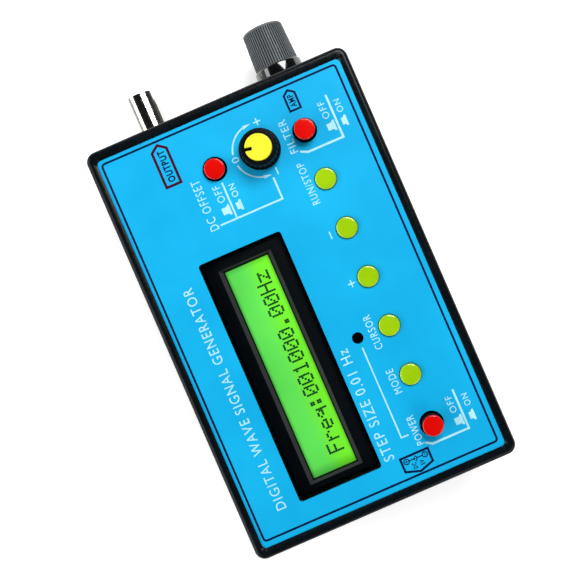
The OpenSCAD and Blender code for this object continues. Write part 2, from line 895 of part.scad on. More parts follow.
module output_socket_body() {
  color([0.1, 0.1, 0.11])
  at_bnc() difference() {
    translate([0, wall_y - bnc_body_l / 2, 0])
      block(bnc_body_w, bnc_body_l, -bnc_axis_h, bnc_body_w / 2);
    bar_y(bnc_d + 2 * shaft_fit, wall_y - bnc_root, wall_y + 1);
    bar_y(bnc_core_d + 0.2, wall_y - bnc_root - bnc_core_root, wall_y + 1);
  }
}

module output_socket_barrel() {
  tip = end_y + bnc_out;
  color([0.8, 0.8, 0.8])
  at_bnc() difference() {
    union() {
      bar_y(bnc_d, wall_y - bnc_root, tip - 0.3);
      bar_y(bnc_d - 0.5, wall_y - bnc_root, tip);
      translate([0, tip - bnc_pin_back, -bnc_pin_span / 2])
        cylinder(d = bnc_pin_d, h = bnc_pin_span, $fn = 32);
    }
    bar_y(bnc_bore_d, end_y - 1, tip + 1);
    bar_y(bnc_core_d + 0.2, wall_y - bnc_root - 1, tip + 1);
  }
}

module output_socket_insulator() {
  color([0.93, 0.93, 0.9])
  at_bnc() difference() {
    bar_y(bnc_core_d, wall_y - bnc_root - bnc_core_root, end_y + bnc_out - bnc_core_back);
    bar_y(bnc_contact_d + 2 * shaft_fit, wall_y - bnc_root - bnc_core_root - 1, end_y + bnc_out);
  }
}

module output_socket_contact() {
  color([0.85, 0.68, 0.25])
  at_bnc() difference() {
    bar_y(bnc_contact_d, wall_y - bnc_root - bnc_core_root, end_y + bnc_out - bnc_contact_back);
    bar_y(bnc_contact_bore, end_y + bnc_out - bnc_contact_back - 4.2, end_y + bnc_out);
  }
}

// ---- power socket ----

module at_jack() {
  translate([jack_x, -wall_y, jack_z]) children();
}

module power_socket() {
  front_l = 3.4;
  color([0.08, 0.08, 0.09])
  at_jack() difference() {
    union() {
      translate([0, front_l / 2, 0]) block(jack_w, front_l, -jack_axis_h, jack_h - jack_axis_h);
      bar_y(jack_w - 0.6, front_l - 1, jack_l);
      translate([0, jack_l / 2 + front_l / 2, 0])
        block(jack_w, jack_l - front_l, -jack_axis_h, -1.5);
    }
    bar_y(jack_bore_d, -1, jack_depth);
    bar_y(jack_pin_d + 2 * shaft_fit, jack_depth - 1, jack_l - 1);
    translate([0, front_l + 3, 0]) block(2.4, 6.2, -jack_axis_h - 1, -jack_bore_d / 2 + 0.5);
  }
}

module power_socket_pin() {
  color([0.8, 0.8, 0.8])
  at_jack() {
    bar_y(jack_pin_d, 1.1, jack_l - 1.1);
    translate([0, 1.1, 0]) sphere(d = jack_pin_d);
  }
}

// leaf that presses on the plug's sleeve, in the slot under the bore
module power_socket_spring() {
  color([0.8, 0.8, 0.8])
  at_jack() translate([0, 6.4, 0]) block(2, 5.6, -jack_axis_h, -jack_axis_h + 0.4);
  color([0.8, 0.8, 0.8])
  at_jack() translate([0, 9, 0]) block(2, 0.4, -jack_axis_h, -jack_bore_d / 2);
}

// ---- one line per node ----

back_shell();
front_shell();
front_label();
case_screws();
main_board();
board_screws();
display_board();
display_backlight();
display_glass();
display_frame();
display_header();
display_socket();
display_standoffs();
display_screws();
microcontroller();
waveform_chip();
output_amplifiers();
clock_oscillator();
voltage_regulator();
electrolytic_capacitors();
chip_resistors();
indicator_lamp();
lamp_spacer();
key_switches();
plunger(0);  // run_stop_plunger
plunger(1);  // minus_plunger
plunger(2);  // plus_plunger
plunger(3);  // cursor_plunger
plunger(4);  // mode_plunger
key_cap(0);  // run_stop_key
key_cap(1);  // minus_key
key_cap(2);  // plus_key
key_cap(3);  // cursor_key
key_cap(4);  // mode_key
latch_switch(offset_button_x, top_y);  // offset_switch
latch_switch(key_x, top_y);  // filter_switch
latch_switch(key_x, power_y);  // power_switch
latch_stem(offset_button_x, top_y, 0);  // offset_stem
latch_stem(key_x, top_y, latch_travel);  // filter_stem
latch_stem(key_x, power_y, latch_travel);  // power_stem
latch_cap(offset_button_x, top_y, 0);  // offset_button
latch_cap(key_x, top_y, latch_travel);  // filter_button
latch_cap(key_x, power_y, latch_travel);  // power_button
offset_control();
offset_shaft();
offset_knob();
offset_knob_disc();
amplitude_control();
amplitude_washer();
amplitude_nut();
amplitude_shaft();
amplitude_grip();
amplitude_skirt();
output_socket_body();
output_socket_barrel();
output_socket_insulator();
output_socket_contact();
power_socket();
power_socket_pin();
power_socket_spring();
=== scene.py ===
import math

import bpy
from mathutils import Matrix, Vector


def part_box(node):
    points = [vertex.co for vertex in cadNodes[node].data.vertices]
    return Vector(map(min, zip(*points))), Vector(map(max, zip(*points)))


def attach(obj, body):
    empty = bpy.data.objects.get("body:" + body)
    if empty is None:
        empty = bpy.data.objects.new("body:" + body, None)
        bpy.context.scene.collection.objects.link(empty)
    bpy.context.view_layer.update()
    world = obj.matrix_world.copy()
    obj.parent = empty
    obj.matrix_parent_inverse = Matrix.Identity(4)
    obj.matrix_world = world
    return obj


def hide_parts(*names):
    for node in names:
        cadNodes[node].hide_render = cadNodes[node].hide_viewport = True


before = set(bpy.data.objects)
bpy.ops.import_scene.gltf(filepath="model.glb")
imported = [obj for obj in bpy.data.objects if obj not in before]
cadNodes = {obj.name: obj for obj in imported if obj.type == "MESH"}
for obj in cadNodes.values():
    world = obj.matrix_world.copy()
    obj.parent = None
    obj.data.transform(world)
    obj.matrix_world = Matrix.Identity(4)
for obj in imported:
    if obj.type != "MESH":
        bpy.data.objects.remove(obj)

scene = bpy.context.scene
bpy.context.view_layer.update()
mm = 0.001
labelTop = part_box("front_label")[1].z


# ---- camera, light and floor

cameraLook = {
    "place": (0.014, 0.015, 0.2817),     # straight above the panel, a little up and right of its middle
    "turn": -23.45,                      # degrees, so the case leans to the left in the view
    "tilt": (0.0, 0.0),
    "lens": 55.05,
    "shift": (-0.061, -0.095),
}
lights = {
    "leftSoftbox": {"place": (-0.50, 0.02, 0.33), "size": (0.90, 0.20), "watts": 2.4},
    "rightSoftbox": {"place": (0.22, 0.25, 0.46), "size": (0.30, 0.24), "watts": 2.75},
    "frontFill": {"place": (0.20, -0.50, 0.40), "size": (0.40, 0.24), "watts": 0.9},
}
aimPoint = Vector((0.0, 0.005, 0.02))


def addCamera(look):
    bpy.ops.object.camera_add(location=look["place"])
    camera = bpy.context.object
    camera.name = "camera"
    camera.rotation_euler = (
        math.radians(look["tilt"][0]), math.radians(look["tilt"][1]), math.radians(look["turn"])
    )
    camera.data.sensor_width = 36
    camera.data.lens = look["lens"]
    camera.data.shift_x = look["shift"][0]
    camera.data.shift_y = look["shift"][1]
    camera.data.clip_start = 0.01
    camera.data.clip_end = 20
    scene.camera = camera


def addSoftbox(name, look):
    place = Vector(look["place"])
    bpy.ops.object.light_add(type="AREA", location=place)
    box = bpy.context.object
    box.name = name
    box.data.shape = "RECTANGLE"
    box.data.size, box.data.size_y = look["size"]
    box.data.energy = look["watts"]
    box.rotation_euler = (aimPoint - place).to_track_quat("-Z", "Y").to_euler()


def addWorld():
    # bright towards the horizon like a light tent, dark overhead and to the right
    world = bpy.data.worlds.new("tent")
    scene.world = world
    world.use_nodes = True
    nodes = world.node_tree.nodes
    links = world.node_tree.links
    place = nodes.new("ShaderNodeTexCoord")
    split = nodes.new("ShaderNodeSeparateXYZ")
    ramp = nodes.new("ShaderNodeValToRGB")
    side = nodes.new("ShaderNodeMapRange")
    product = nodes.new("ShaderNodeMix")
    product.data_type = "RGBA"
    product.blend_type = "MULTIPLY"
    product.inputs[0].default_value = 1
    side.inputs["From Min"].default_value = -0.5
    side.inputs["From Max"].default_value = 0.7
    side.inputs["To Min"].default_value = 1.0
    side.inputs["To Max"].default_value = 0.12
    links.new(place.outputs["Generated"], split.inputs[0])
    links.new(split.outputs["Z"], ramp.inputs["Fac"])
    links.new(split.outputs["X"], side.inputs["Value"])
    links.new(ramp.outputs["Color"], product.inputs[6])
    links.new(side.outputs["Result"], product.inputs[7])
    links.new(product.outputs[2], nodes["Background"].inputs["Color"])
    ramp.color_ramp.elements[0].position = 0.0
    ramp.color_ramp.elements[0].color = (1, 1, 1, 1)
    ramp.color_ramp.elements[1].position = 0.72
    ramp.color_ramp.elements[1].color = (0.02, 0.02, 0.02, 1)
    nodes["Background"].inputs["Strength"].default_value = 0.7


def addFloor():
    deselectAll()
    bpy.ops.mesh.primitive_grid_add(x_subdivisions=8, y_subdivisions=8, size=6)
    floor = bpy.context.object
    floor.name = "floor"
    material = bpy.data.materials.new("paleFloor")
    material.use_nodes = True
    shader = material.node_tree.nodes["Principled BSDF"]
    shader.inputs["Base Color"].default_value = (0.86, 0.86, 0.86, 1)
    shader.inputs["Roughness"].default_value = 0.8
    shader.inputs["Specular IOR Level"].default_value = 0.0
    shader.inputs["Emission Color"].default_value = (1, 1, 1, 1)
    shader.inputs["Emission Strength"].default_value = 0.62
    floor.data.materials.append(material)


# ---- small helpers

def deselectAll():
    if bpy.context.object and bpy.context.object.mode != "OBJECT":
        bpy.ops.object.mode_set(mode="OBJECT")
    bpy.ops.object.select_all(action="DESELECT")


def only(piece):
    deselectAll()
    piece.select_set(True)
    bpy.context.view_layer.objects.active = piece


def applyPlace(piece):
    only(piece)
    bpy.ops.object.transform_apply(location=True, rotation=True, scale=True)


def pickFaces(piece, wanted):
    # leaves the faces for which wanted(middle, normal) is true selected, in edit mode
    bpy.ops.object.mode_set(mode="OBJECT")
    bpy.context.tool_settings.mesh_select_mode = (False, False, True)
    mesh = piece.data
    mesh.vertices.foreach_set("select", [False] * len(mesh.vertices))
    mesh.edges.foreach_set("select", [False] * len(mesh.edges))
    picked = [bool(wanted(face.center, face.normal)) for face in mesh.polygons]
    mesh.polygons.foreach_set("select", picked)
    bpy.ops.object.mode_set(mode="EDIT")
    return sum(picked)


def pickEdges(piece, wanted):
    # leaves the edges whose two ends both pass wanted(end, end) selected, in edit mode
    bpy.ops.object.mode_set(mode="OBJECT")
    bpy.context.tool_settings.mesh_select_mode = (False, True, False)
    mesh = piece.data
    mesh.vertices.foreach_set("select", [False] * len(mesh.vertices))
    mesh.polygons.foreach_set("select", [False] * len(mesh.polygons))
    places = [vertex.co for vertex in mesh.vertices]
    picked = [bool(wanted(places[edge.vertices[0]], places[edge.vertices[1]])) for edge in mesh.edges]
    mesh.edges.foreach_set("select", picked)
    bpy.ops.object.mode_set(mode="EDIT")
    return sum(picked)


def flare(centre, radius, wider):
    # pulls the selected round face out to a wider radius, keeping it flat
    bpy.ops.mesh.extrude_region_move(TRANSFORM_OT_translate={"value": (0, 0, 0)})
    bpy.ops.transform.resize(value=(wider / radius, wider / radius, 1), center_override=centre)


def shadeByAngle(piece, degrees=35):
    only(piece)
    bpy.ops.object.shade_smooth_by_angle(angle=math.radians(degrees))


def evenNormals(piece):
    # large faces keep their own direction, so that the roundings beside them don't tint them
    only(piece)
    bpy.ops.object.modifier_add(type="WEIGHTED_NORMAL")
    piece.modifiers[-1].keep_sharp = True
    bpy.ops.object.modifier_apply(modifier=piece.modifiers[-1].name)


def cleanMesh(piece, gap=1e-7):
    only(piece)
    bpy.ops.object.mode_set(mode="EDIT")
    bpy.ops.mesh.select_all(action="SELECT")
    bpy.ops.mesh.remove_doubles(threshold=gap)
    bpy.ops.mesh.normals_make_consistent(inside=False)
    bpy.ops.object.mode_set(mode="OBJECT")


def place(piece, name, material, body, slot, *nodes):
    # names a finished piece, gives it its finish, and hangs it on its body
    bpy.ops.object.mode_set(mode="OBJECT")
    piece.name = name
    piece.data.name = name
    if material:
        piece.data.materials.clear()
        piece.data.materials.append(material)
    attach(piece, body)
    if nodes:
        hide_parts(*nodes)
    return piece


def layAlongY(piece, axisX, axisZ):
    # turns a piece made standing on the origin, so that its length runs towards +Y
    bpy.ops.object.mode_set(mode="OBJECT")
    piece.rotation_euler = (math.radians(-90), 0, 0)
    piece.location = (axisX, 0, axisZ)
    applyPlace(piece)


# ---- finishes

def tone(red, green, blue):
    # a colour given as on a paint card, 0 to 255, as the shader wants it
    parts = []
    for part in (red, green, blue):
        part = part / 255
        parts.append(part / 12.92 if part <= 0.04045 else ((part + 0.055) / 1.055) ** 2.4)
    return (*parts, 1)


class Finish:
    # a material with two close tones, uneven gloss and a fine relief
    def __init__(self, name, look):
        self.look = look
        self.material = bpy.data.materials.new(name)
        self.material.use_nodes = True
        self.nodes = self.material.node_tree.nodes
        self.links = self.material.node_tree.links
        self.shader = self.nodes["Principled BSDF"]
        self.where = self.nodes.new("ShaderNodeTexCoord").outputs["Object"]
        self.setSocket("Metallic", look.get("metal", 0))
        self.setSocket("Specular IOR Level", look.get("sheen", 0.5))
        self.setSocket("Coat Weight", look.get("coat", 0))
        self.setSocket("Coat Roughness", look.get("coatRough", 0.1))
        self.colour = self.spread("toneScale", look["dark"], look["light"])
        self.links.new(self.colour, self.shader.inputs["Base Color"])
        gloss = self.noise(look.get("glossScale", 900), 3)
        self.links.new(self.mapTo(gloss, *look["rough"]), self.shader.inputs["Roughness"])
        if look.get("relief"):
            grain = self.noise(look.get("grainScale", 2500), 2)
            self.raise_(grain, look["relief"])

    def setSocket(self, socket, value):
        self.shader.inputs[socket].default_value = value

    def noise(self, scale, detail=2, where=None):
        node = self.nodes.new("ShaderNodeTexNoise")
        node.inputs["Scale"].default_value = scale
        node.inputs["Detail"].default_value = detail
        self.links.new(where or self.where, node.inputs["Vector"])
        return node.outputs["Fac"]

    def mapTo(self, value, low, high, fromLow=0.3, fromHigh=0.7):
        node = self.nodes.new("ShaderNodeMapRange")
        node.inputs["From Min"].default_value = fromLow
        node.inputs["From Max"].default_value = fromHigh
        node.inputs["To Min"].default_value = low
        node.inputs["To Max"].default_value = high
        self.links.new(value, node.inputs["Value"])
        return node.outputs["Result"]

    def ramp(self, value, *stops):
        node = self.nodes.new("ShaderNodeValToRGB")
        bar = node.color_ramp
        while len(bar.elements) < len(stops):
            bar.elements.new(0.5)
        for element, (position, colour) in zip(bar.elements, stops):
            element.position = position
            element.color = colour
        self.links.new(value, node.inputs["Fac"])
        return node.outputs["Color"]

    def spread(self, scaleName, dark, light):
        return self.ramp(self.noise(self.look.get(scaleName, 60), 4), (0.32, dark), (0.68, light))

    def mix(self, share, first, second, blend="MIX"):
        node = self.nodes.new("ShaderNodeMix")
        node.data_type = "RGBA"
        node.blend_type = blend
        for value, socket in ((share, node.inputs[0]), (first, node.inputs[6]), (second, node.inputs[7])):
            if isinstance(value, (int, float, tuple)):
                socket.default_value = value
            else:
                self.links.new(value, socket)
        return node.outputs[2]

    def along(self, axis, low, high):
        # 0 at low to 1 at high, in metres along x, y or z
        split = self.nodes.new("ShaderNodeSeparateXYZ")
        self.links.new(self.where, split.inputs[0])
        return self.mapTo(split.outputs[axis.upper()], 0, 1, low, high)

    def raise_(self, height, depth):
        bump = self.nodes.new("ShaderNodeBump")
        bump.inputs["Distance"].default_value = depth
        bump.inputs["Strength"].default_value = 1
        self.links.new(height, bump.inputs["Height"])
        self.links.new(bump.outputs["Normal"], self.shader.inputs["Normal"])


plainFinishes = {
    "case_plastic": {"dark": tone(3, 8, 12), "light": tone(9, 17, 22), "rough": (0.24, 0.34),
                     "sheen": 0.2, "relief": 0.000008, "grainScale": 2600},
    "label": {"dark": tone(4, 170, 226), "light": tone(12, 182, 238), "rough": (0.5, 0.6),
              "sheen": 0.15, "relief": 0.000002, "toneScale": 45, "grainScale": 900},
    "screw_steel": {"dark": tone(150, 150, 146), "light": tone(205, 205, 200), "rough": (0.25, 0.4),
                    "metal": 1, "relief": 0.000004},
    "backlight": {"dark": tone(205, 225, 190), "light": tone(222, 238, 206), "rough": (0.5, 0.6),
                  "relief": 0.000005},
    "frame_metal": {"dark": tone(1, 5, 9), "light": tone(3, 9, 14), "rough": (0.4, 0.5),
                    "sheen": 0.08, "relief": 0.000006, "grainScale": 1800},
    "black_moulding": {"dark": tone(18, 18, 20), "light": tone(32, 32, 34), "rough": (0.45, 0.62),
                       "relief": 0.000012},
    "white_nylon": {"dark": tone(214, 212, 200), "light": tone(232, 230, 220), "rough": (0.38, 0.5),
                    "relief": 0.000008},
    "can_metal": {"dark": tone(165, 165, 162), "light": tone(205, 205, 200), "rough": (0.25, 0.42),
                  "metal": 1, "relief": 0.000005},
    # painted shade: the clear lamp lens is painted near black, for the shade down in its hole
    "lamp": {"dark": tone(10, 8, 9), "light": tone(20, 14, 15), "rough": (0.2, 0.3), "sheen": 0.15},
    "knob_black": {"dark": tone(3, 4, 5), "light": tone(8, 9, 11), "rough": (0.38, 0.5),
                   "sheen": 0.08, "relief": 0.000005, "grainScale": 2200},
    "disc_yellow": {"dark": tone(234, 232, 40), "light": tone(242, 242, 54), "rough": (0.3, 0.4),
                    "sheen": 0.4, "relief": 0.000004},
    "grip_grey": {"dark": tone(82, 88, 92), "light": tone(106, 113, 117), "rough": (0.42, 0.56),
                  "sheen": 0.4, "relief": 0.000015},
    "skirt_black": {"dark": tone(6, 8, 10), "light": tone(12, 15, 18), "rough": (0.08, 0.14),
                    "sheen": 0.7, "coat": 0.6, "coatRough": 0.05},
    "plated_metal": {"dark": tone(214, 213, 205), "light": tone(236, 235, 228), "rough": (0.07, 0.13),
                     "metal": 1},
    "contact_gold": {"dark": tone(205, 160, 70), "light": tone(228, 188, 96), "rough": (0.18, 0.3),
                     "metal": 1, "relief": 0.000002},
    "key_lime": {"dark": tone(158, 205, 10), "light": tone(168, 214, 16), "rough": (0.1, 0.16),
                 "sheen": 0.8, "coat": 1.0, "coatRough": 0.04, "toneScale": 200},
    "button_red": {"dark": tone(214, 8, 3), "light": tone(224, 14, 6), "rough": (0.14, 0.2),
                   "sheen": 0.4, "coat": 0.2, "toneScale": 200},
}
finishes = {name: Finish(name + "_finish", look) for name, look in plainFinishes.items()}


def boardFinish():
    # solder mask with copper tracks showing through it
    board = Finish("circuit_board_finish", {"dark": tone(10, 74, 40), "light": tone(18, 92, 52),
                                            "rough": (0.25, 0.38), "relief": 0.000004})
    tracks = board.nodes.new("ShaderNodeTexVoronoi")
    tracks.distance = "CHEBYCHEV"
    tracks.feature = "DISTANCE_TO_EDGE"
    tracks.inputs["Scale"].default_value = 260
    board.links.new(board.where, tracks.inputs["Vector"])
    edge = board.mapTo(tracks.outputs["Distance"], 1, 0, 0.03, 0.06)
    board.links.new(board.mix(edge, board.colour, tone(38, 120, 66)), board.shader.inputs["Base Color"])
    return board


def sleeveFinish():
    # dark sleeve of a capacitor, with the bright aluminium top
    sleeve = Finish("capacitor_sleeve_finish", {"dark": tone(16, 20, 34), "light": tone(26, 31, 48),
                                                "rough": (0.3, 0.42), "relief": 0.000004})
    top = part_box("electrolytic_capacitors")[1].z
    lid = sleeve.along("z", top - 0.0004, top - 0.0002)
    sleeve.links.new(sleeve.mix(lid, sleeve.colour, tone(190, 190, 188)), sleeve.shader.inputs["Base Color"])
    sleeve.links.new(lid, sleeve.shader.inputs["Metallic"])
    return sleeve


def paintedLabelLight(label):
    # painted light: the film is painted a touch lighter towards the sockets, for the stronger light falling
    # on that end
    low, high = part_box("front_label")
    lightFalloff = label.along("y", low.y, high.y)
    tint = label.ramp(lightFalloff, (0.0, (0.93, 0.96, 0.96, 1)), (1.0, (1.0, 1.0, 1.0, 1)))
    label.links.new(label.mix(1.0, label.colour, tint, "MULTIPLY"), label.shader.inputs["Base Color"])


lit = {
    "field": (-17.13, -48.15, -3.15, 16.8),     # mm, the lit part: left, bottom, right, top
    "lime": tone(104, 214, 44),
    "edge": 0.3,                                # mm of dark seal round it
    "glow": 0.4,
}


def glassFinish():
    # the lit field: cooler on the left, yellower on the right, dimmer along its edges
    glass = Finish("display_glass_finish", {"dark": tone(80, 200, 80), "light": tone(94, 208, 78),
                                            "rough": (0.2, 0.26), "sheen": 0.2, "toneScale": 60})
    left, bottom, right, top = [side * mm for side in lit["field"]]
    across = glass.along("x", left, right)
    up = glass.along("y", bottom, top)
    field = glass.mix(glass.ramp(across, (0.38, (0, 0, 0, 1)), (0.7, (1, 1, 1, 1))),
                      glass.colour, lit["lime"])
    seal = (0.004, 0.008, 0.005, 1)
    wide = lit["edge"] * mm / (right - left)
    tall = lit["edge"] * mm / (top - bottom)
    sides = glass.ramp(across, (wide, seal), (wide * 1.25, (0.55, 0.55, 0.55, 1)), (0.08, (1, 1, 1, 1)),
                       (0.92, (1, 1, 1, 1)), (1 - wide * 1.25, (0.66, 0.66, 0.66, 1)), (1 - wide, seal))
    ends = glass.ramp(up, (tall, seal), (tall * 1.25, (0.55, 0.62, 0.62, 1)), (0.05, (1, 1, 1, 1)),
                      (0.97, (1, 1, 1, 1)), (1 - tall * 1.25, (0.72, 0.74, 0.72, 1)), (1 - tall, seal))
    patches = glass.ramp(glass.noise(38, 1), (0.35, (0.86, 0.86, 0.86, 1)), (0.65, (1, 1, 1, 1)))
    field = glass.mix(1.0, glass.mix(1.0, field, sides, "MULTIPLY"), ends, "MULTIPLY")
    field = glass.mix(1.0, field, patches, "MULTIPLY")
    glass.links.new(field, glass.shader.inputs["Base Color"])
    glass.links.new(field, glass.shader.inputs["Emission Color"])
    glass.setSocket("Emission Strength", lit["glow"])
    return glass


finishes["circuit_board"] = boardFinish()
finishes["capacitor_sleeve"] = sleeveFinish()
finishes["display_glass"] = glassFinish()
paintedLabelLight(finishes["label"])

printWhite = Finish("print_white", {"dark": tone(168, 226, 242), "light": tone(188, 238, 250),
                                    "rough": (0.5, 0.6), "sheen": 0.1, "toneScale": 300})
printNavy = Finish("print_navy", {"dark": tone(0, 14, 58), "light": tone(0, 22, 70),
                                  "rough": (0.5, 0.6), "sheen": 0.1, "toneScale": 300})
printMaroon = Finish("print_maroon", {"dark": tone(58, 2, 30), "light": tone(70, 6, 40),
                                      "rough": (0.5, 0.6), "sheen": 0.1, "toneScale": 300})
dotGreen = Finish("dot_green", {"dark": tone(3, 54, 26), "light": tone(8, 66, 34),
                                "rough": (0.25, 0.32), "toneScale": 300})
# painted shade for the side walls of the push buttons
capSidePaintedShade = Finish("cap_side", {"dark": tone(22, 2, 2), "light": tone(36, 4, 3),
                              "rough": (0.5, 0.6), "sheen": 0.05, "toneScale": 200})
# painted shade for the floors of the grip's grooves
gripGroovePaintedShade = Finish("grip_groove_painted_shade", {"dark": tone(34, 38, 42), "light": tone(48, 53, 57),
                                    "rough": (0.6, 0.7), "sheen": 0.1})
# painted highlight for the sloped inner lip of the black bezel
lipPaintedHighlight = Finish("lip_grey_painted_highlight", {"dark": tone(44, 43, 49), "light": tone(60, 58, 64),
                              "rough": (0.5, 0.6), "sheen": 0.2})


def finishCadNodes():
    for name, node in cadNodes.items():
        slot = node.data.materials[0].name.split(".")[0]
        node.material_slots[0].material = finishes[slot].material


finishCadNodes()
print("finishes done")


# ---- case halves: the CAD shape with the mould's eased edge along the joint

caseJoint = {"height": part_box("front_shell")[0].z, "ease": 0.00022}


def easeShell(name):
    source = cadNodes[name]
    shell = bpy.data.objects.new(name + "_eased", source.data.copy())
    scene.collection.objects.link(shell)
    cleanMesh(shell, 1e-6)
    low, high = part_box(name)
    joint = caseJoint["height"]

    def outer(point):
        # on the joint's plane, and on the outside wall rather than the lap inside it
        onPlane = abs(point.z - joint) < 1e-5
        insideX = min(point.x - low.x, high.x - point.x)
        insideY = min(point.y - low.y, high.y - point.y)
        corner = 0.003
        if insideX < corner and insideY < corner:
            reach = math.hypot(corner - insideX, corner - insideY)
            return onPlane and reach > corner - 0.0003
        return onPlane and min(insideX, insideY) < 0.0002

    found = pickEdges(shell, lambda a, b: outer(a) and outer(b))
    bpy.ops.mesh.bevel(offset=caseJoint["ease"], segments=2, affect="EDGES")
    bpy.ops.object.mode_set(mode="OBJECT")
    shadeByAngle(shell, 30)
    evenNormals(shell)
    place(shell, name + "_eased", finishes["case_plastic"].material, "case", "case_plastic", name)
    print(name, "eased edges", found)


easeShell("back_shell")
easeShell("front_shell")


# ---- keys and push buttons

# the flange under a key is one wider all round; its height is counted from the cap's foot
keyCap = {"lap": 1.0 * mm, "edge": 0.45 * mm, "crown": 0.05 * mm, "flange": 1.0 * mm,
          "bore": 1.8 * mm, "boreRoom": 0.1 * mm}
pushButton = {"lap": 0, "edge": 0.42 * mm, "crown": 0.04 * mm, "flange": 0,
              "bore": 2.4 * mm, "boreRoom": 0.1 * mm}


def makeCap(name, body, slot, stem, look):
    # a round cap: eased top edge, slightly crowned face, flange below, bore for its stem
    low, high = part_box(name)
    bottom = low.z + look["flange"]
    wide = (high.x - low.x) / 2
    radius = wide - look["lap"]
    deselectAll()
    bpy.ops.mesh.primitive_cylinder_add(
        vertices=96, radius=radius, depth=high.z - look["crown"] - bottom,
        location=((low.x + high.x) / 2, (low.y + high.y) / 2, (high.z - look["crown"] + bottom) / 2))
    cap = bpy.context.object
    applyPlace(cap)
    rim = high.z - look["crown"]
    pickEdges(cap, lambda a, b: min(a.z, b.z) > rim - 1e-6)
    bpy.ops.mesh.bevel(offset=look["edge"], segments=5, profile=0.5, affect="EDGES")
    pickFaces(cap, lambda middle, normal: normal.z > 0.99 and middle.z > rim - 1e-5)
    for step in (0.55, 0.45):
        bpy.ops.mesh.inset(thickness=radius * 0.3)
        bpy.ops.transform.translate(value=(0, 0, look["crown"] * step))
    if look["flange"]:
        pickFaces(cap, lambda middle, normal: normal.z < -0.99 and middle.z < bottom + 1e-6)
        flare(((low.x + high.x) / 2, (low.y + high.y) / 2, bottom), radius, wide)
        bpy.ops.mesh.extrude_region_move(TRANSFORM_OT_translate={"value": (0, 0, -look["flange"])})
    pickFaces(cap, lambda middle, normal: normal.z < -0.99 and middle.z < low.z + 1e-6)
    bpy.ops.mesh.inset(thickness=wide - look["bore"])
    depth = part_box(stem)[1].z + look["boreRoom"] - low.z
    bpy.ops.mesh.extrude_region_move(TRANSFORM_OT_translate={"value": (0, 0, depth)})
    bpy.ops.object.mode_set(mode="OBJECT")
    shadeByAngle(cap, 40)
    place(cap, name + "_cap", finishes[slot].material, body, slot, name)
    if not look["flange"]:
        # painted shade: the side of a push button is painted near black up to the eased edge, for the shade
        # that falls on it
        cap.data.materials.append(capSidePaintedShade.material)
        for face in cap.data.polygons:
            face.material_index = 1 if abs(face.normal.z) < 0.1 else 0


for key in ("run_stop", "minus", "plus", "cursor", "mode"):
    makeCap(key + "_key", key + "_key", "key_lime", key + "_plunger", keyCap)
for button in ("offset", "filter", "power"):
    makeCap(button + "_button", button + "_button", "button_red", button + "_stem", pushButton)
print("caps done")


# ---- small offset knob and its yellow disc

boreFit = {"side": 0.05 * mm, "end": 0.1 * mm}    # room round a shaft and past its end
smallKnob = {"flutes": 24, "baseRadius": 5.9 * mm, "baseHeight": 1.4 * mm, "bodyRadius": 5.45 * mm,
             "topRadius": 5.0 * mm, "topEdge": 0.5 * mm, "fluteDepth": 0.22 * mm, "fluteWall": 0.1 * mm,
             "seatRoom": 0.1 * mm, "footEdge": 0.25 * mm}
yellowDisc = {"edge": 0.28 * mm, "rimWidth": 0.35 * mm, "dish": 0.08 * mm,
              "notch": (2.0 * mm, 1.0 * mm), "notchTurn": 169, "overcut": 0.4 * mm, "cutDepth": 4 * mm}


def makeSmallKnob():
    look = smallKnob
    low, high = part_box("offset_knob")
    middle = (low + high) / 2
    bottom = low.z + look["baseHeight"]
    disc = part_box("offset_knob_disc")
    seat = (disc[1].x - disc[0].x) / 2 + look["seatRoom"]
    deselectAll()
    bpy.ops.mesh.primitive_cone_add(
        vertices=look["flutes"] * 8, radius1=look["bodyRadius"], radius2=look["topRadius"],
        depth=high.z - bottom, location=(middle.x, middle.y, (high.z + bottom) / 2))
    knob = bpy.context.object
    applyPlace(knob)
    pickEdges(knob, lambda a, b: min(a.z, b.z) > high.z - 1e-6)
    bpy.ops.mesh.bevel(offset=look["topEdge"], segments=4, affect="EDGES")

    def inFlute(face, normal):
        turn = math.degrees(math.atan2(face.y - middle.y, face.x - middle.x)) % (360 / look["flutes"])
        return abs(normal.z) < 0.15 and turn < 360 / look["flutes"] * 3 / 8

    pickFaces(knob, inFlute)
    bpy.ops.mesh.inset(thickness=look["fluteWall"], depth=-look["fluteDepth"])
    pickFaces(knob, lambda face, normal: normal.z < -0.99 and face.z < bottom + 1e-6)
    flare((middle.x, middle.y, bottom), look["bodyRadius"], look["baseRadius"])
    bpy.ops.mesh.extrude_region_move(TRANSFORM_OT_translate={"value": (0, 0, -look["baseHeight"])})
    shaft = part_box("offset_shaft")
    bore = (shaft[1].x - shaft[0].x) / 2 + boreFit["side"]
    bpy.ops.mesh.inset(thickness=look["baseRadius"] - bore)
    bpy.ops.mesh.extrude_region_move(
        TRANSFORM_OT_translate={"value": (0, 0, shaft[1].z + boreFit["end"] - low.z)})
    pickFaces(knob, lambda face, normal: normal.z > 0.99 and face.z > high.z - 1e-6)
    bpy.ops.mesh.inset(thickness=look["topRadius"] - look["topEdge"] - seat)
    bpy.ops.mesh.extrude_region_move(TRANSFORM_OT_translate={"value": (0, 0, disc[0].z - high.z)})
    pickEdges(knob, lambda a, b: abs(a.z - low.z - look["baseHeight"]) < 1e-6
              and abs(b.z - low.z - look["baseHeight"]) < 1e-6
              and math.hypot(a.x - middle.x, a.y - middle.y) > look["baseRadius"] - 1e-5
              and math.hypot(b.x - middle.x, b.y - middle.y) > look["baseRadius"] - 1e-5)
    bpy.ops.mesh.bevel(offset=look["footEdge"], segments=3, affect="EDGES")
    bpy.ops.object.mode_set(mode="OBJECT")
    shadeByAngle(knob, 32)
    place(knob, "offset_knob_body", finishes["knob_black"].material, "offset_knob", "knob_black",
          "offset_knob")


